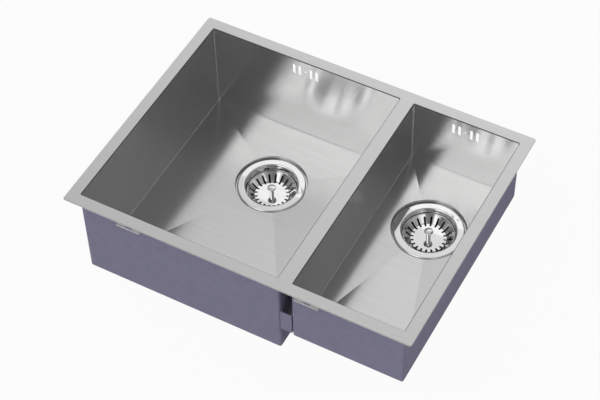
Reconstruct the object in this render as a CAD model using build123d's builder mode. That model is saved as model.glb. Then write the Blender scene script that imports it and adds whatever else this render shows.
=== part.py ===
"""Undermount kitchen sink: a deep main bowl and a shallower half bowl, each with a basket strainer.

Millimetres, +Z up. The origin is the centre of the rim's top face, which is bonded under a worktop.
+X runs along the sink from the main bowl to the half bowl, and +Y runs to the wall behind it.
"""

from build123d import *
from dataclasses import dataclass
import os

os.makedirs("parts", exist_ok=True)

# ---------------------------------------------------------------- sheet-metal sink
SINK_LENGTH = 585.0  # rim along X
SINK_WIDTH = 440.0  # rim along Y
RIM_BORDER = 20.0  # rim's outer edge to the inner face of a bowl
DIVIDER = 25.0  # inner face of one bowl to inner face of the other
MAIN_LENGTH = 340.0  # main bowl inside, along X
MAIN_DEPTH = 170.0  # main bowl inside, at the foot of its walls
HALF_DEPTH = 125.0
DECK_GAUGE = 1.5  # rim plate
SHEET = 1.2  # bowl walls and floor
COAT = 1.0  # sound-deadening coat on the outside of the bowls
RIM_CORNER = 4.0
BOWL_CORNER = 1.5  # upright corners of a bowl, inside
FOLD_RADIUS = 1.0  # wall to floor, inside
EDGE_ROLL = 1.4  # rim's top face into a bowl
EDGE_BREAK = 0.3  # rim's outer top edge

# ---------------------------------------------------------------- creased floor and strainer recess
FLOOR_FALL = 6.0  # how far the creased floor would fall to the strainer's axis
CREASE_INSET = FOLD_RADIUS + 1.5  # walls to where the floor starts to fall
APEX_SHARE = 0.1  # lower end of the fall over its upper end; the recess takes the lower end away
STRAINER_Y = 78.0  # strainer axis, towards the back of the bowl
STRAINER_HOLE_R = 45.0
RECESS_R = 59.0  # flat bottom of the recess
RECESS_FLARE = 2.4  # how much wider the recess is at the height of the walls' foot
RECESS_DROP = 9.4  # foot of the walls to the recess's flat bottom

# ---------------------------------------------------------------- overflow holes in the back walls
OVERFLOW_Z = -23.5
OVERFLOW_PITCH = 10.3
OVERFLOW_SLOT_HEIGHT = 22.0
OVERFLOW_SLOT_WIDTH = 5.0
OVERFLOW_SCREW_R = 2.2
COAT_MASK = 1.0  # bare steel left around each hole in the coat

# ---------------------------------------------------------------- worktop clip brackets
CLIP_LENGTH = 40.0
CLIP_LEG = 14.0  # upright leg, on the wall
CLIP_REACH = 10.0  # level leg, out from the wall
CLIP_GAUGE = 1.5
CLIP_BEND = 2.2  # radius outside the bend
CLIP_SLOT_LENGTH = 13.0
CLIP_SLOT_WIDTH = 3.8
CLIP_SLOT_EDGE = 1.7  # slot to the level leg's outer edge
CLIP_Z = -20.5  # level leg's top face
CLIP_MAIN_X = -184.3
CLIP_HALF_X = 119.7

# ---------------------------------------------------------------- channels that tie the bowls together
BRACE_TOP = -80.0
BRACE_HEIGHT = 42.0
BRACE_GAUGE = 1.5
BRACE_LEG = 32.0  # legs that run back along the bowls
BRACE_SLACK = 0.8  # gap left on the half bowl's side

# ---------------------------------------------------------------- rubber sound pads under the floors
PAD_THICKNESS = 3.0
PAD_CORNER = 12.0
PAD_WIDTH = 110.0
MAIN_PAD_LENGTH = 250.0
HALF_PAD_LENGTH = 120.0
PAD_Y = -95.0

# ---------------------------------------------------------------- strainer body, z from its flange's top
FLANGE_R = 57.0
FLANGE_LIP = 3.2  # depth of the turned-down outer edge
FLANGE_ROLL = 2.4  # radius of that edge
FLANGE_SEAT = 3.4  # flange's top to the bottom of the recess
WELL_R = 43.0  # neck of the well, inside
MOUTH_ROLL = 3.0  # radius of the bend from flange to well
WELL_GAUGE = 1.0
WELL_STEP_Z = -4.3  # small step inside the neck
WELL_STEP = 0.7
WELL_WAIST_Z = -17.0  # where the well starts to taper
WELL_FOOT_R = 36.5
WELL_FLOOR_Z = -45.0
WELL_FOOT_BEND = 9.0
DRAIN_R = 2.0
DRAIN_RINGS = ((12, 12.4), (18, 17.6))  # number of holes and radius of their circle

GASKET_R = 54.0
LOWER_GASKET_BORE_R = 46.5
LOWER_GASKET_R = 53.0
LOWER_GASKET = 3.0

# ---------------------------------------------------------------- waste housing under the bowl
HOUSING_FLANGE_R = 55.0
HOUSING_FLANGE = 3.4
HOUSING_R = 49.5
HOUSING_WALL = 2.5
HOUSING_SHOULDER_Z = -50.0  # where the cup turns in to the outlet
HOUSING_NECK_Z = -62.0
HOUSING_NECK = 5.5  # depth of the socket that the outlet is welded into
OUTLET_R = 23.9  # 1 1/2 inch pipe thread, over its crests
OUTLET_BORE_R = 19.5
OUTLET_END_Z = -86.0
THREAD_TOP_Z = -65.6
THREAD_PITCH = 2.31
THREAD_DEPTH = 1.2
THREAD_TURNS = 8
OUTLET_COLLAR = 2.0  # collar that meets the housing's neck
GUSSET_COUNT = 12
GUSSET_REACH = 4.0
GUSSET_DROP = 12.0
GUSSET_WIDTH = 2.0
SPIDER_ARMS = 3
SPIDER_ARM = 3.0
SPIDER_BOSS_R = 10.0
SPIDER_TOP_Z = -61.0
SPIDER_HEIGHT = 14.0
INSERT_R = 7.8
SPIGOT_Z = -28.0  # overflow inlet on the side of the housing
SPIGOT_R = 10.0
SPIGOT_BORE_R = 7.5
SPIGOT_REACH = 74.0  # strainer's axis to the inlet's end
SPIGOT_COLLAR_R = 11.8  # collar at the inlet's root, where a hose stops
SPIGOT_COLLAR_REACH = 53.5

# ---------------------------------------------------------------- clamping screw, hollow for the sleeve
SCREW_HEAD_R = 9.0
SCREW_HEAD = 1.8
SCREW_R = 6.0
SCREW_LENGTH = 28.0
SOCKET_R = 4.2
SOCKET_DEPTH = 21.0
DRIVER_SLOT = 1.6
DRIVER_SLOT_DEPTH = 1.0

# ---------------------------------------------------------------- basket, as it stands when pushed shut
BASKET_FLOOR_Z = -23.6
BASKET_FLOOR_R = 29.0
BASKET_RIM_R = 40.8
BASKET_RIM_Z = -12.6
BASKET_GAUGE = 0.8
BASKET_LIP_R = 1.0  # radius of the rolled rim
BASKET_BEND = 2.0
SLOT_COUNT = 20
SLOT_WIDTH = 3.3
SLOT_INNER_R = 23.6
SLOT_OUTER_R = 37.5

KNOB_R = 7.2
KNOB_TOP = 17.6  # above the basket's floor
KNOB_CROWN = 0.8
KNOB_EDGE = 1.2
KNOB_BREAK = 0.4  # bevel between crown and edge
KNOB_CONE = 3.6
KNOB_SOCKET_R = 2.0
KNOB_SOCKET = 4.5

# ---------------------------------------------------------------- spindle, stopper and its sleeve
POST_R = 3.4
STEM_R = 2.7  # threaded part that holds the basket's nut
TAIL_R = 2.2  # part that turns in the sleeve
NUT_ACROSS_FLATS = 8.0
NUT_HEIGHT = 2.6
STOPPER_TOP_Z = -37.5
STOPPER_PLATE = 3.7
STOPPER_R = 24.2
STOPPER_LIP = 3.4  # radial width of the sealing skirt
STOPPER_LIFT = 0.3  # skirt's foot above the well's floor when shut
SLEEVE_TOP_Z = -36.0
SLEEVE_HEAD_R = 8.0
SLEEVE_NECK_R = 5.5
SLEEVE_COLLAR_R = 7.0
SLEEVE_COLLAR = 1.0
FINGER_R = 3.6
FINGER_BULGE_R = 3.9
FINGER_BULGE_Z = -51.0
FINGER_END_Z = -55.0
FINGER_SLIT = 1.0
FINGER_SLIT_TOP_Z = -45.0
RING_R = 3.2
RING = 0.6
RING_GROOVE = 0.5
TAIL_TIP = 1.6  # tail's reach past the retaining ring
RUN_CLEARANCE = 0.06  # radial, between the spindle and its sleeve
END_PLAY = 0.25  # along the spindle, at each end of the sleeve
OPEN_LIFT = 4.6  # how far the basket stands up when it lets water through


@dataclass
class Bowl:
    name: str
    x: float
    length: float
    depth: float
    pad_length: float
    basket_lift: float

    @property
    def strainer(self):
        """The strainer's own origin: on its axis, at its flange's top."""
        return Location((self.x, STRAINER_Y, -self.depth - RECESS_DROP + FLANGE_SEAT))


BOWL_WIDTH = SINK_WIDTH - 2 * RIM_BORDER
HALF_LENGTH = SINK_LENGTH - 2 * RIM_BORDER - DIVIDER - MAIN_LENGTH
MAIN_LEFT = -SINK_LENGTH / 2 + RIM_BORDER
HALF_RIGHT = SINK_LENGTH / 2 - RIM_BORDER
MAIN = Bowl("main", MAIN_LEFT + MAIN_LENGTH / 2, MAIN_LENGTH, MAIN_DEPTH, MAIN_PAD_LENGTH, 0.0)
HALF = Bowl("half", HALF_RIGHT - HALF_LENGTH / 2, HALF_LENGTH, HALF_DEPTH, HALF_PAD_LENGTH, OPEN_LIFT)
BOWLS = (MAIN, HALF)
SKIN = SHEET + COAT  # inner face of a bowl to the outside of its coat


def save(part, name):
    """Label a finished piece and write it as one node."""
    part.label = name
    export_step(part, f"parts/{name}.step")


# ================================================================ bowls
def bowl_form(bowl, grow):
    """The space a bowl encloses, as a solid, with every face moved out by grow."""
    foot_z = -bowl.depth - grow
    crease_length = bowl.length - 2 * CREASE_INSET
    crease_width = BOWL_WIDTH - 2 * CREASE_INSET
    with BuildPart() as form:
        with BuildSketch(Plane.XY.offset(foot_z)):
            with Locations((bowl.x, 0)):
                Rectangle(bowl.length + 2 * grow, BOWL_WIDTH + 2 * grow)
        extrude(amount=-foot_z)
        fillet(form.edges().filter_by(Axis.Z), BOWL_CORNER + grow)
        fillet(form.faces().sort_by(Axis.Z)[0].edges(), FOLD_RADIUS + grow)
        # the floor falls in four flat facets, whose creases run from the corners to the strainer
        with BuildSketch(Plane.XY.offset(foot_z)):
            with Locations((bowl.x, 0)):
                Rectangle(crease_length, crease_width)
        with BuildSketch(Plane.XY.offset(foot_z - FLOOR_FALL * (1 - APEX_SHARE))):
            with Locations((bowl.x, STRAINER_Y * (1 - APEX_SHARE))):
                Rectangle(crease_length * APEX_SHARE, crease_width * APEX_SHARE)
        loft(ruled=True)
        with Locations((bowl.x, STRAINER_Y, foot_z - RECESS_DROP)):
            Cone(
                RECESS_R + grow,
                RECESS_R + RECESS_FLARE + grow,
                RECESS_DROP,
                align=(Align.CENTER, Align.CENTER, Align.MIN),
            )
    return form.part


def overflow_holes(bowl, grow):
    """Four upright slots and a screw hole through a bowl's back wall, as a cutting solid."""
    with BuildPart() as holes:
        with BuildSketch(Plane.XZ.offset(-BOWL_WIDTH / 2 + SKIN)):
            with Locations((bowl.x, OVERFLOW_Z)):
                Circle(OVERFLOW_SCREW_R + grow)
            with Locations(*[(bowl.x + n * OVERFLOW_PITCH, OVERFLOW_Z) for n in (-2, -1, 1, 2)]):
                SlotOverall(OVERFLOW_SLOT_HEIGHT + 2 * grow, OVERFLOW_SLOT_WIDTH + 2 * grow, rotation=90)
        extrude(amount=-3 * SKIN)
    return holes.part


def room_above(z):
    """A block over the whole sink, from height z up."""
    with BuildPart() as room:
        with Locations((0, 0, z)):
            Box(2 * SINK_LENGTH, 2 * SINK_WIDTH, 50, align=(Align.CENTER, Align.CENTER, Align.MIN))
    return room.part


FORMS = {(bowl.name, grow): bowl_form(bowl, grow) for bowl in BOWLS for grow in (0.0, SHEET, SKIN)}
DECK_ROOM = room_above(-DECK_GAUGE)

for bowl in BOWLS:
    steel_holes = overflow_holes(bowl, 0.0)
    coat_holes = overflow_holes(bowl, COAT_MASK)

    with BuildPart() as bowl_shell:
        add(FORMS[bowl.name, SHEET])
        add(FORMS[bowl.name, 0.0], mode=Mode.SUBTRACT)
        add(DECK_ROOM, mode=Mode.SUBTRACT)
        add(steel_holes, mode=Mode.SUBTRACT)
        with Locations((bowl.x, STRAINER_Y, -bowl.depth)):
            Cylinder(STRAINER_HOLE_R, 4 * RECESS_DROP, mode=Mode.SUBTRACT)
    save(bowl_shell.part, f"{bowl.name}_bowl")

    with BuildPart() as coat:
        add(FORMS[bowl.name, SKIN])
        add(FORMS[bowl.name, SHEET], mode=Mode.SUBTRACT)
        add(DECK_ROOM, mode=Mode.SUBTRACT)
        add(coat_holes, mode=Mode.SUBTRACT)
        with Locations((bowl.x, STRAINER_Y, -bowl.depth)):
            Cylinder(HOUSING_FLANGE_R + COAT_MASK, 4 * RECESS_DROP, mode=Mode.SUBTRACT)
    save(coat.part, f"{bowl.name}_sound_coat")

    # bonded to the coated floor, which slopes, so the pad's top takes the floor's form
    pad_bottom = -bowl.depth - SKIN - FLOOR_FALL / 2 - PAD_THICKNESS
    with BuildPart() as pad:
        with BuildSketch(Plane.XY.offset(pad_bottom)):
            with Locations((bowl.x, PAD_Y)):
                RectangleRounded(bowl.pad_length, PAD_WIDTH, PAD_CORNER)
        extrude(amount=PAD_THICKNESS + FLOOR_FALL)
        add(FORMS[bowl.name, SKIN], mode=Mode.SUBTRACT)
    save(pad.part, f"{bowl.name}_sound_pad")

# ================================================================ rim
with BuildPart() as rim_deck:
    with BuildSketch(Plane.XY.offset(-DECK_GAUGE)):
        RectangleRounded(SINK_LENGTH, SINK_WIDTH, RIM_CORNER)
        for bowl in BOWLS:
            with Locations((bowl.x, 0)):
                RectangleRounded(bowl.length, BOWL_WIDTH, BOWL_CORNER, mode=Mode.SUBTRACT)
    extrude(amount=DECK_GAUGE)
    top_face = rim_deck.faces().sort_by(Axis.Z)[-1]
    opening_edges = [wire.edges() for wire in top_face.inner_wires()]
    chamfer(top_face.outer_wire().edges(), EDGE_BREAK)
    for edges in opening_edges:
        fillet(edges, EDGE_ROLL)
save(rim_deck.part, "rim_deck")

# ================================================================ channels between the bowls
brace_left = MAIN.x + MAIN.length / 2 + SKIN
brace_right = HALF.x - HALF.length / 2 - SKIN - BRACE_SLACK
wall_y = BOWL_WIDTH / 2 + SKIN

for side, name in ((-1, "front_bowl_brace"), (1, "back_bowl_brace")):
    face_y = side * wall_y
    inside_y = side * (wall_y - BRACE_GAUGE)
    leg_end_y = side * (wall_y - BRACE_LEG)
    with BuildPart() as brace:
        with BuildSketch(Plane.XY.offset(BRACE_TOP - BRACE_HEIGHT)):
            with BuildLine():
                Polyline(
                    (brace_left, leg_end_y),
                    (brace_left, face_y),
                    (brace_right, face_y),
                    (brace_right, leg_end_y),
                    (brace_right - BRACE_GAUGE, leg_end_y),
                    (brace_right - BRACE_GAUGE, inside_y),
                    (brace_left + BRACE_GAUGE, inside_y),
                    (brace_left + BRACE_GAUGE, leg_end_y),
                    close=True,
                )
            make_face()
        extrude(amount=BRACE_HEIGHT)
        bends = brace.edges().filter_by(Axis.Z).group_by(Axis.Y)[0 if side < 0 else -1]
        fillet(bends, BRACE_GAUGE * 0.8)
    save(brace.part, name)


# ================================================================ clip brackets
def clip_bracket(place):
    """An angle welded to a coated wall, with a slot in its level leg for the hook of a worktop clip.

    place has its origin on the wall at the level leg's top, y up and z out of the wall.
    """
    slot_z = CLIP_REACH - CLIP_SLOT_EDGE - CLIP_SLOT_WIDTH / 2
    with BuildPart() as bracket:
        with BuildSketch(Plane.YZ.offset(-CLIP_LENGTH / 2)):
            with BuildLine():
                FilletPolyline(
                    (CLIP_LEG, 0),
                    (-CLIP_GAUGE, 0),
                    (-CLIP_GAUGE, CLIP_REACH),
                    radius=CLIP_BEND,
                )
                offset(amount=CLIP_GAUGE, side=Side.RIGHT, closed=True)
            make_face()
        extrude(amount=CLIP_LENGTH)
        with BuildSketch(Plane.XZ):
            with Locations((0, slot_z)):
                Rectangle(CLIP_SLOT_LENGTH, CLIP_SLOT_WIDTH)
        extrude(amount=2 * CLIP_GAUGE, mode=Mode.SUBTRACT)
    return bracket.part.moved(place.location)


left_x = MAIN.x - MAIN.length / 2 - SKIN
right_x = HALF.x + HALF.length / 2 + SKIN
CLIP_PLACES = {
    "front_main": Plane((CLIP_MAIN_X, -wall_y, CLIP_Z), x_dir=(1, 0, 0), z_dir=(0, -1, 0)),
    "front_half": Plane((CLIP_HALF_X, -wall_y, CLIP_Z), x_dir=(1, 0, 0), z_dir=(0, -1, 0)),
    "back_main": Plane((CLIP_MAIN_X, wall_y, CLIP_Z), x_dir=(-1, 0, 0), z_dir=(0, 1, 0)),
    "back_half": Plane((CLIP_HALF_X, wall_y, CLIP_Z), x_dir=(-1, 0, 0), z_dir=(0, 1, 0)),
    "left": Plane((left_x, 0, CLIP_Z), x_dir=(0, -1, 0), z_dir=(-1, 0, 0)),
    "right": Plane((right_x, 0, CLIP_Z), x_dir=(0, 1, 0), z_dir=(1, 0, 0)),
}
for side, place in CLIP_PLACES.items():
    save(clip_bracket(place), f"clip_bracket_{side}")


# ================================================================ turned and pressed shapes
def turned(*points):
    """A solid turned about Z from a closed outline of (radius, z) points."""
    with BuildPart() as solid:
        with BuildSketch(Plane.XZ):
            with BuildLine():
                Polyline(*points, close=True)
            make_face()
        revolve(axis=Axis.Z)
    return solid.part


def pressed(points, bends, gauge, side):
    """Sheet metal turned about Z: a line of (radius, z) points with bends, thickened on one side."""
    with BuildPart() as sheet:
        with BuildSketch(Plane.XZ):
            with BuildLine():
                FilletPolyline(*points, radius=bends)
                offset(amount=gauge, side=side, closed=True)
            make_face()
        revolve(axis=Axis.Z)
    return sheet.part


def ring(inner_r, outer_r, top_z, height):
    """A flat ring whose top face is at top_z."""
    return turned(
        (inner_r, top_z),
        (outer_r, top_z),
        (outer_r, top_z - height),
        (inner_r, top_z - height),
    )


# ================================================================ fixed pieces of a strainer
def strainer_body():
    """Polished flange and well, one pressing, with drain holes around the clamping screw."""
    step_r = WELL_R - WELL_STEP
    points = (
        (FLANGE_R, -FLANGE_LIP),
        (FLANGE_R, 0),
        (WELL_R, 0),
        (WELL_R, WELL_STEP_Z),
        (step_r, WELL_STEP_Z - WELL_STEP),
        (step_r, WELL_WAIST_Z),
        (WELL_FOOT_R, WELL_FLOOR_Z),
        (SCREW_R, WELL_FLOOR_Z),
    )
    bends = (FLANGE_ROLL, MOUTH_ROLL, WELL_STEP, WELL_STEP, MOUTH_ROLL, WELL_FOOT_BEND)
    with BuildPart() as body:
        add(pressed(points, bends, WELL_GAUGE, Side.LEFT))
        with Locations((0, 0, WELL_FLOOR_Z)):
            for count, ring_r in DRAIN_RINGS:
                with PolarLocations(ring_r, count):
                    Cylinder(DRAIN_R, 4 * WELL_GAUGE, mode=Mode.SUBTRACT)
    return body.part


def flange_gasket():
    """Soft ring under the flange, on the bottom of the recess."""
    return ring(WELL_R + MOUTH_ROLL, GASKET_R, -WELL_GAUGE, FLANGE_SEAT - WELL_GAUGE)


def lower_gasket():
    """Rubber ring between the underside of the bowl and the housing."""
    return ring(LOWER_GASKET_BORE_R, LOWER_GASKET_R, -FLANGE_SEAT - SHEET, LOWER_GASKET)


def waste_housing():
    """Moulded cup around the well, with gussets, the overflow's inlet and a neck for the outlet."""
    top_z = -FLANGE_SEAT - SHEET - LOWER_GASKET
    under_flange_z = top_z - HOUSING_FLANGE
    bore_r = HOUSING_R - HOUSING_WALL
    socket_r = OUTLET_R - THREAD_DEPTH
    gusset_planes = []
    for n in range(GUSSET_COUNT):
        outward = Vector(1, 0, 0).rotate(Axis.Z, 360 / GUSSET_COUNT * n)
        gusset_planes.append(Plane((0, 0, 0), x_dir=outward, z_dir=outward.cross(Vector(0, 0, 1))))
    with BuildPart() as housing:
        add(
            turned(
                (HOUSING_FLANGE_R, top_z),
                (HOUSING_FLANGE_R, under_flange_z),
                (HOUSING_R, under_flange_z),
                (HOUSING_R, HOUSING_SHOULDER_Z),
                (OUTLET_R + HOUSING_WALL, HOUSING_NECK_Z),
                (socket_r, HOUSING_NECK_Z),
                (socket_r, HOUSING_NECK_Z + HOUSING_NECK),
                (bore_r, HOUSING_SHOULDER_Z + HOUSING_WALL),
                (bore_r, top_z),
            )
        )
        with BuildSketch(*gusset_planes):
            with BuildLine():
                Polyline(
                    (HOUSING_R - HOUSING_WALL / 2, under_flange_z),
                    (HOUSING_R + GUSSET_REACH, under_flange_z),
                    (HOUSING_R, under_flange_z - GUSSET_DROP),
                    (HOUSING_R - HOUSING_WALL / 2, under_flange_z - GUSSET_DROP),
                    close=True,
                )
            make_face()
        extrude(amount=GUSSET_WIDTH / 2, both=True)
        # overflow inlet, towards the back wall
        for radius, reach in ((SPIGOT_R, SPIGOT_REACH), (SPIGOT_COLLAR_R, SPIGOT_COLLAR_REACH)):
            with BuildSketch(Plane.XZ.offset(-reach)):
                with Locations((0, SPIGOT_Z)):
                    Circle(radius)
            extrude(amount=reach - bore_r - HOUSING_WALL / 2)
        with BuildSketch(Plane.XZ.offset(-SPIGOT_REACH)):
            with Locations((0, SPIGOT_Z)):
                Circle(SPIGOT_BORE_R)
        extrude(amount=SPIGOT_REACH - bore_r + HOUSING_WALL, mode=Mode.SUBTRACT)
    return housing.part


def waste_outlet():
    """Threaded outlet welded into the housing's neck, with a spider that holds the brass insert."""
    root_r = OUTLET_R - THREAD_DEPTH
    collar_r = OUTLET_R + HOUSING_WALL
    thread = []
    for turn in range(THREAD_TURNS):
        crest_z = THREAD_TOP_Z - turn * THREAD_PITCH
        thread += [
            (OUTLET_R, crest_z),
            (OUTLET_R, crest_z - THREAD_PITCH / 3),
            (root_r, crest_z - THREAD_PITCH * 2 / 3),
        ]
    outline = [
        (OUTLET_BORE_R, HOUSING_NECK_Z + HOUSING_NECK),
        (root_r, HOUSING_NECK_Z + HOUSING_NECK),
        (root_r, HOUSING_NECK_Z),
        (collar_r, HOUSING_NECK_Z),
        (collar_r, HOUSING_NECK_Z - OUTLET_COLLAR),
        (root_r, HOUSING_NECK_Z - OUTLET_COLLAR),
        *thread,
        (root_r, OUTLET_END_Z),
        (OUTLET_BORE_R, OUTLET_END_Z),
    ]
    with BuildPart() as outlet:
        add(turned(*outline))
        with BuildSketch(Plane.XY.offset(SPIDER_TOP_Z - SPIDER_HEIGHT)):
            Circle(SPIDER_BOSS_R)
            with PolarLocations((INSERT_R + OUTLET_BORE_R) / 2, SPIDER_ARMS):
                Rectangle(OUTLET_BORE_R - INSERT_R + HOUSING_WALL / 2, SPIDER_ARM)
            Circle(INSERT_R, mode=Mode.SUBTRACT)
        extrude(amount=SPIDER_HEIGHT)
    return outlet.part


def housing_insert():
    """Brass nut moulded into the spider."""
    return ring(SCREW_R, INSERT_R, SPIDER_TOP_Z, SPIDER_HEIGHT)


def clamp_screw():
    """Hollow screw that draws the strainer and the housing together through the bowl's floor."""
    head_z = WELL_FLOOR_Z + SCREW_HEAD
    with BuildPart() as screw:
        with Locations((0, 0, head_z)):
            Cylinder(SCREW_HEAD_R, SCREW_HEAD, align=(Align.CENTER, Align.CENTER, Align.MAX))
        chamfer(screw.edges().group_by(Axis.Z)[-1], SCREW_HEAD / 4)
        with Locations((0, 0, WELL_FLOOR_Z)):
            Cylinder(SCREW_R, SCREW_LENGTH, align=(Align.CENTER, Align.CENTER, Align.MAX))
        with Locations((0, 0, head_z)):
            Box(2 * SCREW_HEAD_R, DRIVER_SLOT, 2 * DRIVER_SLOT_DEPTH, mode=Mode.SUBTRACT)
            Box(DRIVER_SLOT, 2 * SCREW_HEAD_R, 2 * DRIVER_SLOT_DEPTH, mode=Mode.SUBTRACT)
            Cylinder(
                SOCKET_R,
                SOCKET_DEPTH,
                align=(Align.CENTER, Align.CENTER, Align.MAX),
                mode=Mode.SUBTRACT,
            )
    return screw.part


# ================================================================ stopper, which slides but does not turn
def stopper():
    """Rubber disc whose skirt closes on the well's floor, outside the drain holes."""
    plate_z = STOPPER_TOP_Z - STOPPER_PLATE
    foot_z = WELL_FLOOR_Z + STOPPER_LIFT
    return turned(
        (SLEEVE_NECK_R, STOPPER_TOP_Z),
        (STOPPER_R - STOPPER_LIP, STOPPER_TOP_Z),
        (STOPPER_R, plate_z),
        (STOPPER_R, foot_z + STOPPER_LIP / 4),
        (STOPPER_R - STOPPER_LIP / 4, foot_z),
        (STOPPER_R - STOPPER_LIP, foot_z),
        (STOPPER_R - STOPPER_LIP * 4 / 3, plate_z),
        (SLEEVE_NECK_R, plate_z),
    )


def stopper_sleeve():
    """Plastic sleeve that carries the stopper, with split fingers that spring in the screw's socket."""
    bore_r = TAIL_R + RUN_CLEARANCE
    collar_top_z = STOPPER_TOP_Z - STOPPER_PLATE
    collar_z = collar_top_z - SLEEVE_COLLAR
    slit_length = FINGER_SLIT_TOP_Z - FINGER_END_Z
    outline = (
        (bore_r, SLEEVE_TOP_Z),
        (SLEEVE_HEAD_R, SLEEVE_TOP_Z),
        (SLEEVE_HEAD_R, STOPPER_TOP_Z),
        (SLEEVE_NECK_R, STOPPER_TOP_Z),
        (SLEEVE_NECK_R, collar_top_z),
        (SLEEVE_COLLAR_R, collar_top_z),
        (SLEEVE_COLLAR_R, collar_z),
        (FINGER_R, collar_z),
        (FINGER_R, FINGER_BULGE_Z + FINGER_SLIT),
        (FINGER_BULGE_R, FINGER_BULGE_Z),
        (FINGER_R, FINGER_BULGE_Z - FINGER_SLIT),
        (FINGER_R, FINGER_END_Z),
        (bore_r, FINGER_END_Z),
    )
    with BuildPart() as sleeve:
        add(turned(*outline))
        with Locations((0, 0, FINGER_END_Z)):
            for angle in (0, 90):
                Box(
                    4 * FINGER_R,
                    FINGER_SLIT,
                    slit_length,
                    rotation=(0, 0, angle),
                    align=(Align.CENTER, Align.CENTER, Align.MIN),
                    mode=Mode.SUBTRACT,
                )
    return sleeve.part


# ================================================================ basket, which also turns
def basket():
    """Shallow slotted cup with a rolled rim."""
    rise_r = BASKET_RIM_R - BASKET_LIP_R / 2
    floor_line = ((STEM_R, BASKET_FLOOR_Z), (BASKET_FLOOR_R, BASKET_FLOOR_Z), (rise_r, BASKET_RIM_Z))
    slot_length = SLOT_OUTER_R - SLOT_INNER_R
    with BuildPart() as cup:
        add(pressed(floor_line, BASKET_BEND, BASKET_GAUGE, Side.RIGHT))
        with Locations((0, 0, BASKET_RIM_Z)):
            Torus(BASKET_RIM_R, BASKET_LIP_R)
        with BuildSketch(Plane.XY.offset(BASKET_FLOOR_Z - 2 * BASKET_GAUGE)):
            with PolarLocations(SLOT_INNER_R + slot_length / 2, SLOT_COUNT):
                SlotOverall(slot_length, SLOT_WIDTH)
        extrude(amount=BASKET_RIM_Z - BASKET_FLOOR_Z + BASKET_GAUGE, mode=Mode.SUBTRACT)
    return cup.part


def knob():
    """Low domed knob with a coned underside."""
    top_z = BASKET_FLOOR_Z + KNOB_TOP
    edge_z = top_z - KNOB_CROWN
    cone_z = edge_z - KNOB_EDGE
    base_z = cone_z - KNOB_CONE
    crown_edge_r = KNOB_R - KNOB_BREAK
    crown_r = (crown_edge_r**2 + KNOB_CROWN**2) / (2 * KNOB_CROWN)
    with BuildPart() as button:
        with BuildSketch(Plane.XZ):
            with BuildLine():
                crown = RadiusArc((crown_edge_r, edge_z), (0, top_z), -crown_r)
                Polyline(
                    crown @ 1,
                    (0, base_z + KNOB_SOCKET),
                    (KNOB_SOCKET_R, base_z + KNOB_SOCKET),
                    (KNOB_SOCKET_R, base_z),
                    (POST_R, base_z),
                    (KNOB_R, cone_z),
                    (KNOB_R, edge_z - KNOB_BREAK),
                    crown @ 0,
                )
            make_face()
        revolve(axis=Axis.Z)
    return button.part


def spindle():
    """Post from the knob down through the basket and the sleeve."""
    knob_base_z = BASKET_FLOOR_Z + KNOB_TOP - KNOB_CROWN - KNOB_EDGE - KNOB_CONE
    shoulder_z = SLEEVE_TOP_Z + END_PLAY
    ring_top_z = FINGER_END_Z - END_PLAY
    ring_foot_z = ring_top_z - RING
    groove_r = TAIL_R - RING_GROOVE
    return turned(
        (0, knob_base_z + KNOB_SOCKET),
        (KNOB_SOCKET_R, knob_base_z + KNOB_SOCKET),
        (KNOB_SOCKET_R, knob_base_z),
        (POST_R, knob_base_z),
        (POST_R, BASKET_FLOOR_Z),
        (STEM_R, BASKET_FLOOR_Z),
        (STEM_R, shoulder_z),
        (TAIL_R, shoulder_z),
        (TAIL_R, ring_top_z),
        (groove_r, ring_top_z),
        (groove_r, ring_foot_z),
        (TAIL_R, ring_foot_z),
        (TAIL_R, ring_foot_z - TAIL_TIP / 2),
        (groove_r, ring_foot_z - TAIL_TIP),
        (0, ring_foot_z - TAIL_TIP),
    )


def basket_nut():
    """Hexagon nut that clamps the basket's floor to the spindle."""
    top_z = BASKET_FLOOR_Z - BASKET_GAUGE
    with BuildPart() as nut:
        with BuildSketch(Plane.XY.offset(top_z - NUT_HEIGHT)):
            RegularPolygon(NUT_ACROSS_FLATS / 2, 6, major_radius=False)
            Circle(STEM_R, mode=Mode.SUBTRACT)
        extrude(amount=NUT_HEIGHT)
    return nut.part


def retaining_ring():
    """Ring in the spindle's groove, under the sleeve."""
    ring_top_z = FINGER_END_Z - END_PLAY
    return ring(TAIL_R - RING_GROOVE, RING_R, ring_top_z, RING)


FIXED_PIECES = {
    "strainer": strainer_body(),
    "flange_gasket": flange_gasket(),
    "lower_gasket": lower_gasket(),
    "waste_housing": waste_housing(),
    "waste_outlet": waste_outlet(),
    "housing_insert": housing_insert(),
    "clamp_screw": clamp_screw(),
}
LIFTING_PIECES = {
    "stopper": stopper(),
    "stopper_sleeve": stopper_sleeve(),
    "basket": basket(),
    "knob": knob(),
    "spindle": spindle(),
    "basket_nut": basket_nut(),
    "retaining_ring": retaining_ring(),
}
for bowl in BOWLS:
    for name, piece in FIXED_PIECES.items():
        save(piece.moved(bowl.strainer), f"{bowl.name}_{name}")
    raised = bowl.strainer * Location((0, 0, bowl.basket_lift))
    for name, piece in LIFTING_PIECES.items():
        save(piece.moved(raised), f"{bowl.name}_{name}")
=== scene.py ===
"""Looks, light and camera for the undermount kitchen sink. Lengths are in metres, +Z up."""

import bpy
import math
from mathutils import Matrix, Vector


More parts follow.
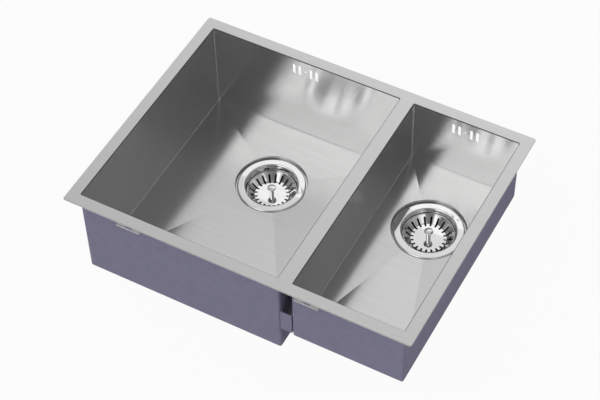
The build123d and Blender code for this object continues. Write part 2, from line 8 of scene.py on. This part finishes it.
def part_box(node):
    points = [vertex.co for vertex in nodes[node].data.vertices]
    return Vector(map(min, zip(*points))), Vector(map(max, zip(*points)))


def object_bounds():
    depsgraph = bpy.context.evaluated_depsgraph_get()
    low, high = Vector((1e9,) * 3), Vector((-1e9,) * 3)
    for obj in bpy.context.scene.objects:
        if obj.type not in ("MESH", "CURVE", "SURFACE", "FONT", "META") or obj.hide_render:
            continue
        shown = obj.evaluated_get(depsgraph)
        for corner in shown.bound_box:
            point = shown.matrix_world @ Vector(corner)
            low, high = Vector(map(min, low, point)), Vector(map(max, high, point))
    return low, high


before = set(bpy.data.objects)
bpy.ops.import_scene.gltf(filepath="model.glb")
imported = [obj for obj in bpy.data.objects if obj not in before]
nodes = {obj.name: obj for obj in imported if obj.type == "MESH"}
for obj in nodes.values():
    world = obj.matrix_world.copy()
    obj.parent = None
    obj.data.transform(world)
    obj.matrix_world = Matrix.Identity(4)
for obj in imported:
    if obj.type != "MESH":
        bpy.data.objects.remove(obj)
cad_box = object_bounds()
SIDES = ("main", "half")

# ---------------------------------------------------------------- camera, at the photograph's angle
AZIMUTH = 29.567
ELEVATION = 50.194
ROLL = -1.538
DISTANCE = 2.63784
TARGET = Vector((0.026745, -0.056364, 0.0))
LENS = 105.22
SENSOR = 36.0


def make_camera():
    azimuth, elevation, roll = (math.radians(a) for a in (AZIMUTH, ELEVATION, ROLL))
    back = Vector(
        (
            math.sin(azimuth) * math.cos(elevation),
            -math.cos(azimuth) * math.cos(elevation),
            math.sin(elevation),
        )
    )
    level = Vector((math.cos(azimuth), math.sin(azimuth), 0))
    right = level * math.cos(roll) + back.cross(level) * math.sin(roll)
    up = back.cross(right)
    data = bpy.data.cameras.new("camera")
    data.lens = LENS
    data.sensor_width = SENSOR
    camera = bpy.data.objects.new("camera", data)
    bpy.context.scene.collection.objects.link(camera)
    turn = Matrix((right, up, back)).transposed().to_4x4()
    camera.matrix_world = Matrix.Translation(TARGET + back * DISTANCE) @ turn
    bpy.context.scene.camera = camera


# ---------------------------------------------------------------- node helpers
class Nodes:
    """Short calls for building one node tree."""

    def __init__(self, tree):
        self.tree = tree
        tree.nodes.clear()

    def new(self, kind, inputs=None, **settings):
        node = self.tree.nodes.new(kind)
        for key, value in settings.items():
            setattr(node, key, value)
        for key, value in (inputs or {}).items():
            self.put(node, key, value)
        return node

    def put(self, node, key, value):
        """Sets a socket to a value or links it to another socket."""
        if isinstance(value, bpy.types.NodeSocket):
            self.tree.links.new(value, node.inputs[key])
        else:
            node.inputs[key].default_value = value

    def math(self, operation, a, b=0.0, c=0.0):
        return self.new("ShaderNodeMath", {0: a, 1: b, 2: c}, operation=operation).outputs[0]

    def vector(self, operation, a, b=(0, 0, 0)):
        return self.new("ShaderNodeVectorMath", {0: a, 1: b}, operation=operation).outputs[0]

    def split(self, vector):
        """The X, Y and Z of a vector."""
        return self.new("ShaderNodeSeparateXYZ", {0: vector}).outputs

    def noise(self, vector, scale, detail=3.0, roughness=0.5):
        inputs = {"Vector": vector, "Scale": scale, "Detail": detail, "Roughness": roughness}
        return self.new("ShaderNodeTexNoise", inputs).outputs["Fac"]

    def spread(self, value, low, high, low_in=0.0, high_in=1.0, smooth=False):
        """Gives low where the value is low_in and high where it is high_in, and holds both beyond."""
        kind = "SMOOTHSTEP" if smooth else "LINEAR"
        inputs = {"Value": value, "From Min": low_in, "From Max": high_in, "To Min": low, "To Max": high}
        return self.new("ShaderNodeMapRange", inputs, interpolation_type=kind).outputs["Result"]

    def mix(self, factor, a, b):
        """Blends two numbers."""
        return self.new("ShaderNodeMix", {0: factor, 2: a, 3: b}).outputs[0]

    def mix_vector(self, factor, a, b):
        return self.new("ShaderNodeMix", {0: factor, 4: a, 5: b}, data_type="VECTOR").outputs[1]

    def mix_colour(self, factor, a, b):
        return self.new("ShaderNodeMix", {0: factor, 6: a, 7: b}, data_type="RGBA").outputs[2]

    def bump(self, height, strength, distance, below=None):
        inputs = {"Height": height, "Strength": strength, "Distance": distance}
        if below:
            inputs["Normal"] = below
        return self.new("ShaderNodeBump", inputs).outputs["Normal"]


def grey(value):
    return (value, value, value, 1.0)


def shades(colour, variation):
    """A darker and a lighter version of a colour."""
    return (tuple(c * (1 + sign * variation) for c in colour) + (1.0,) for sign in (-1, 1))


def principled(name, **inputs):
    """A new material, its node calls and its shader, with uniform values set on the shader itself."""
    material = bpy.data.materials.new(name)
    material.use_nodes = True
    build = Nodes(material.node_tree)
    shader = build.new("ShaderNodeBsdfPrincipled", inputs)
    build.new("ShaderNodeOutputMaterial", {"Surface": shader.outputs[0]})
    return material, build, shader


def position(build):
    """Place on the object, in metres."""
    return build.new("ShaderNodeTexCoord").outputs["Object"]


# ---------------------------------------------------------------- materials
STEEL = (0.66, 0.66, 0.657)
FINE_STROKES = (15.0, 2200.0)  # brush marks per metre, along the stroke and across it
BROAD_STROKES = (5.0, 220.0)
SWAY = 4.0  # slow waves in a sheet, per metre
TURNING_MARKS = 900.0  # per metre of radius
SMUDGES = 60.0
PATCH_SIZE = 40  # how many times larger a surface's patches are than its grain
TOWARDS = 0.7  # a face that turns this far to an axis counts as facing it
NOISE_RANGE = (0.3, 0.7)  # where most values of a noise texture lie
MARK_DEPTH = 0.00002
GRAIN_DEPTH = 0.0003


def facing(build, axis):
    """How far a face turns towards an axis, from 0 to 1, without a sign."""
    normal = build.split(build.new("ShaderNodeNewGeometry").outputs["True Normal"])
    return build.math("ABSOLUTE", normal[axis])


def brush_marks(build, strokes):
    """Brush marks that run level: along Y on a wall that faces X, along X on every other face."""
    along, across = strokes
    place = position(build)
    faces_x = build.math("GREATER_THAN", facing(build, "X"), TOWARDS)
    along_x = build.vector("MULTIPLY", place, (along, across, across))
    along_y = build.vector("MULTIPLY", place, (across, along, across))
    return build.noise(build.mix_vector(faces_x, along_x, along_y), 1.0, roughness=0.6)


def brushed_steel(name, colour, roughness, relief, wave, pull, roll=1.0):
    """Brushed sheet, whose reflections are drawn out across the marks and waver a little.

    relief is the strength of the marks, wave the height of the sheet's sway, and pull how far
    reflections are drawn out. roll multiplies the colour of rounded and slanting faces; below 1 it
    is painted shade, a dark line painted along rolled edges and folds.
    """
    material, build, shader = principled(name, Metallic=1.0, Anisotropic=pull)
    fine = brush_marks(build, FINE_STROKES)
    broad = brush_marks(build, BROAD_STROKES)
    sway = build.noise(position(build), SWAY, detail=1.0)
    strokes = build.math("ADD", *(build.spread(marks, 0, 0.5, *NOISE_RANGE) for marks in (fine, broad)))
    level = facing(build, "Z")
    not_upright = build.spread(level, 0, 1, 0.1, 0.3)
    not_level = build.spread(level, 1, 0, 0.93, 0.995)
    slanting = build.math("MULTIPLY", not_upright, not_level)
    brushed = build.mix_colour(strokes, *shades(colour, 0.03))
    # Painted shade: with roll below 1, rounded and slanting faces are darkened into a dark line.
    painted_roll_shade = tuple(c * roll for c in colour) + (1.0,)
    build.put(shader, "Base Color", build.mix_colour(slanting, brushed, painted_roll_shade))
    build.put(shader, "Roughness", build.spread(strokes, roughness + 0.02, roughness - 0.02))
    across_marks = build.mix_vector(build.math("GREATER_THAN", level, TOWARDS), (0, 0, 1), (0, 1, 0))
    build.put(shader, "Tangent", across_marks)
    build.put(shader, "Normal", build.bump(fine, relief, MARK_DEPTH, build.bump(sway, 1.0, wave)))
    return material


def polished_steel(name, centre):
    """Mirror finish with faint marks from turning about the strainer's axis."""
    material, build, shader = principled(name, Metallic=1.0)
    flat = build.vector("MULTIPLY", build.vector("SUBTRACT", position(build), centre), (1, 1, 0))
    radius = build.new("ShaderNodeVectorMath", {0: flat}, operation="LENGTH").outputs["Value"]
    turning = build.new("ShaderNodeTexNoise", {"W": radius, "Scale": TURNING_MARKS}, noise_dimensions="1D")
    smudge = build.noise(position(build), SMUDGES)
    build.put(shader, "Base Color", build.mix_colour(smudge, grey(0.73), grey(0.8)))
    build.put(shader, "Roughness", build.spread(smudge, 0.02, 0.06))
    build.put(shader, "Normal", build.bump(turning.outputs["Fac"], 0.05, MARK_DEPTH))
    return material


def grained(name, colour, roughness, scale, relief, variation=0.1, metallic=0.0, shine=0.5):
    """Sprayed, moulded, cast or rubber surface: a mottled colour over a fine grain.

    scale is the grain's, per metre, relief its strength, and variation the mottling's share of the
    colour.
    """
    material, build, shader = principled(name, Metallic=metallic)
    build.put(shader, "Specular IOR Level", shine)
    fine = build.noise(position(build), scale, roughness=0.6)
    broad = build.noise(position(build), scale / PATCH_SIZE)
    mottle = build.math("ADD", build.math("MULTIPLY", fine, 0.5), build.math("MULTIPLY", broad, 0.5))
    mottled = build.mix_colour(build.spread(mottle, 0, 1, *NOISE_RANGE), *shades(colour, variation))
    build.put(shader, "Base Color", mottled)
    build.put(shader, "Roughness", build.spread(broad, roughness - 0.06, roughness + 0.06))
    build.put(shader, "Normal", build.bump(fine, relief, GRAIN_DEPTH))
    return material


def cover(name, material):
    slots = nodes[name].data.materials
    slots.clear()
    slots.append(material)


def dress():
    """Gives every CAD node its material."""
    # roll=0.1 paints shade on the rim's rounded edges and folds, darkening them into a dark line.
    rim = brushed_steel(
        "rim_steel", (0.63, 0.63, 0.627), roughness=0.3, relief=0.05, wave=0.0004, pull=0.6, roll=0.1
    )
    bowl = brushed_steel("bowl_steel", STEEL, roughness=0.19, relief=0.003, wave=0.0004, pull=0.9)
    bare = brushed_steel("bare_steel", (0.58, 0.58, 0.58), roughness=0.3, relief=0.3, wave=0.0005, pull=0.3)
    zinc = grained("zinc", (0.62, 0.62, 0.61), 0.5, 900.0, relief=0.1, variation=0.06, metallic=0.2)
    brass = grained("brass", (0.72, 0.5, 0.2), 0.3, 1500.0, relief=0.15, variation=0.08, metallic=1.0)
    coat = grained("sound_coat", (0.212, 0.203, 0.288), 0.75, 2600.0, relief=0.35, shine=0.1)
    pad = grained("sound_pad", (0.02, 0.02, 0.022), 0.7, 1800.0, relief=0.5)
    rubber = grained("gasket_rubber", (0.018, 0.018, 0.018), 0.55, 1500.0, relief=0.2)
    plastic = grained("waste_plastic", (0.72, 0.72, 0.7), 0.35, 1200.0, relief=0.1, variation=0.03)
    sleeve = grained("sleeve_plastic", (0.6, 0.6, 0.57), 0.4, 1200.0, relief=0.1, variation=0.04)
    on_both_sides = {
        "bowl": bowl,
        "sound_coat": coat,
        "sound_pad": pad,
        "flange_gasket": rubber,
        "lower_gasket": rubber,
        "waste_housing": plastic,
        "waste_outlet": plastic,
        "housing_insert": brass,
        "stopper": rubber,
        "stopper_sleeve": sleeve,
        "basket_nut": bare,
        "retaining_ring": bare,
    }
    cover("rim_deck", rim)
    for side in SIDES:
        low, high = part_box(f"{side}_strainer")
        polish = polished_steel(f"{side}_polish", (low + high) / 2)
        for piece in ("strainer", "clamp_screw", "basket", "knob", "spindle"):
            cover(f"{side}_{piece}", polish)
        for piece, material in on_both_sides.items():
            cover(f"{side}_{piece}", material)
    for name in nodes:
        if name.endswith("brace"):
            cover(name, coat)
        elif name.startswith("clip_bracket"):
            cover(name, zinc)


# ---------------------------------------------------------------- stage and light
FLOOR_SIZE = 8.0
FLOOR_GREY = 0.55
SHOWN_WHITE = 0.95  # share of plain white in what the camera and mirrors see of the floor
# Share of the light that a black flag, low in front on the left, keeps off the steel. Each row gives
# the share at both ends of a stretch of one axis, and the stretch. The rows multiply.
FLAG = (
    ("X", 1, 0, -0.15, 0.05),
    ("Y", 0.95, 0, -0.7, -0.5),
    ("Z", 0, 1, 0.1, 0.35),
    ("Z", 1, 0, 0.57, 0.69),
)
FILL_SIZE = 0.9
FILL_POWER = 9.0
FILL_WAY = Vector((0.75, -0.2, 0.6)).normalized()
FILL_REACH = 2.6


def make_floor():
    """A pale floor, which is shown nearly white, lights the object as grey, and is clear from below."""
    bpy.ops.mesh.primitive_plane_add(size=FLOOR_SIZE, location=(0, 0, cad_box[0].z))
    floor = bpy.context.object
    floor.name = "floor"
    material = bpy.data.materials.new("floor")
    material.use_nodes = True
    build = Nodes(material.node_tree)
    plain = build.new("ShaderNodeBsdfDiffuse", {"Color": grey(FLOOR_GREY)})
    white = build.new("ShaderNodeEmission", {"Color": grey(1.0), "Strength": 1.0})
    ray = build.new("ShaderNodeLightPath").outputs
    mirrored = build.math("MAXIMUM", ray["Is Glossy Ray"], ray["Is Transmission Ray"])
    seen = build.math("MAXIMUM", ray["Is Camera Ray"], mirrored)
    share = build.math("MULTIPLY", seen, SHOWN_WHITE)
    both = build.new("ShaderNodeMixShader", {0: share, 1: plain.outputs[0], 2: white.outputs[0]})
    clear = build.new("ShaderNodeBsdfTransparent")
    below = build.new("ShaderNodeNewGeometry").outputs["Backfacing"]
    sided = build.new("ShaderNodeMixShader", {0: below, 1: both.outputs[0], 2: clear.outputs[0]})
    build.new("ShaderNodeOutputMaterial", {"Surface": sided.outputs[0]})
    floor.data.materials.append(material)


def make_world():
    """A studio with a large soft light on the left, brightest in front, and a dim right side.

    Level with the floor it is white. way is the direction that is looked in.
    """
    world = bpy.data.worlds.new("studio")
    bpy.context.scene.world = world
    world.use_nodes = True
    build = Nodes(world.node_tree)
    way = build.split(build.new("ShaderNodeTexCoord").outputs["Generated"])
    front_light = build.spread(way["Y"], 2.2, 0.68, -0.6, -0.1, smooth=True)
    back_light = build.spread(way["Y"], 0, 0.5, 0.35, 0.8)
    low_light = build.spread(way["Z"], 0.3, -0.1, 0.5, 0.85)
    edge_shade = build.spread(way["X"], -0.2, 0, -0.45, -0.25)
    left = front_light
    for light in (back_light, low_light, edge_shade):
        left = build.math("ADD", left, light)
    right = build.spread(way["X"], 0.19, 0.4, 0.3, 0.7)
    sky = build.mix(build.spread(way["X"], 0, 1, -0.15, 0.12, smooth=True), left, right)
    level = build.mix(build.spread(way["Z"], 0, 1, 0.0, 0.35, smooth=True), 1.0, sky)
    flag = build.new("ShaderNodeLightPath").outputs["Is Glossy Ray"]
    for axis, *share in FLAG:
        flag = build.math("MULTIPLY", flag, build.spread(way[axis], *share))
    level = build.math("MULTIPLY", level, build.math("SUBTRACT", 1.0, flag))
    studio = build.new("ShaderNodeBackground", {"Color": grey(1.0), "Strength": level})
    build.new("ShaderNodeOutputWorld", {"Surface": studio.outputs[0]})


def make_fill():
    """A soft lamp on the right that lifts the coated walls and stays out of the mirrors."""
    data = bpy.data.lights.new("fill", "AREA")
    data.size = FILL_SIZE
    data.energy = FILL_POWER
    lamp = bpy.data.objects.new("fill", data)
    lamp.visible_glossy = False
    aim = Vector((0, 0, cad_box[0].z / 2))
    lamp.location = aim + FILL_WAY * FILL_REACH
    lamp.rotation_euler = FILL_WAY.to_track_quat("Z", "Y").to_euler()
    bpy.context.scene.collection.objects.link(lamp)


make_camera()
dress()
make_floor()
make_world()
make_fill()

bpy.context.scene.view_settings.view_transform = "Standard"
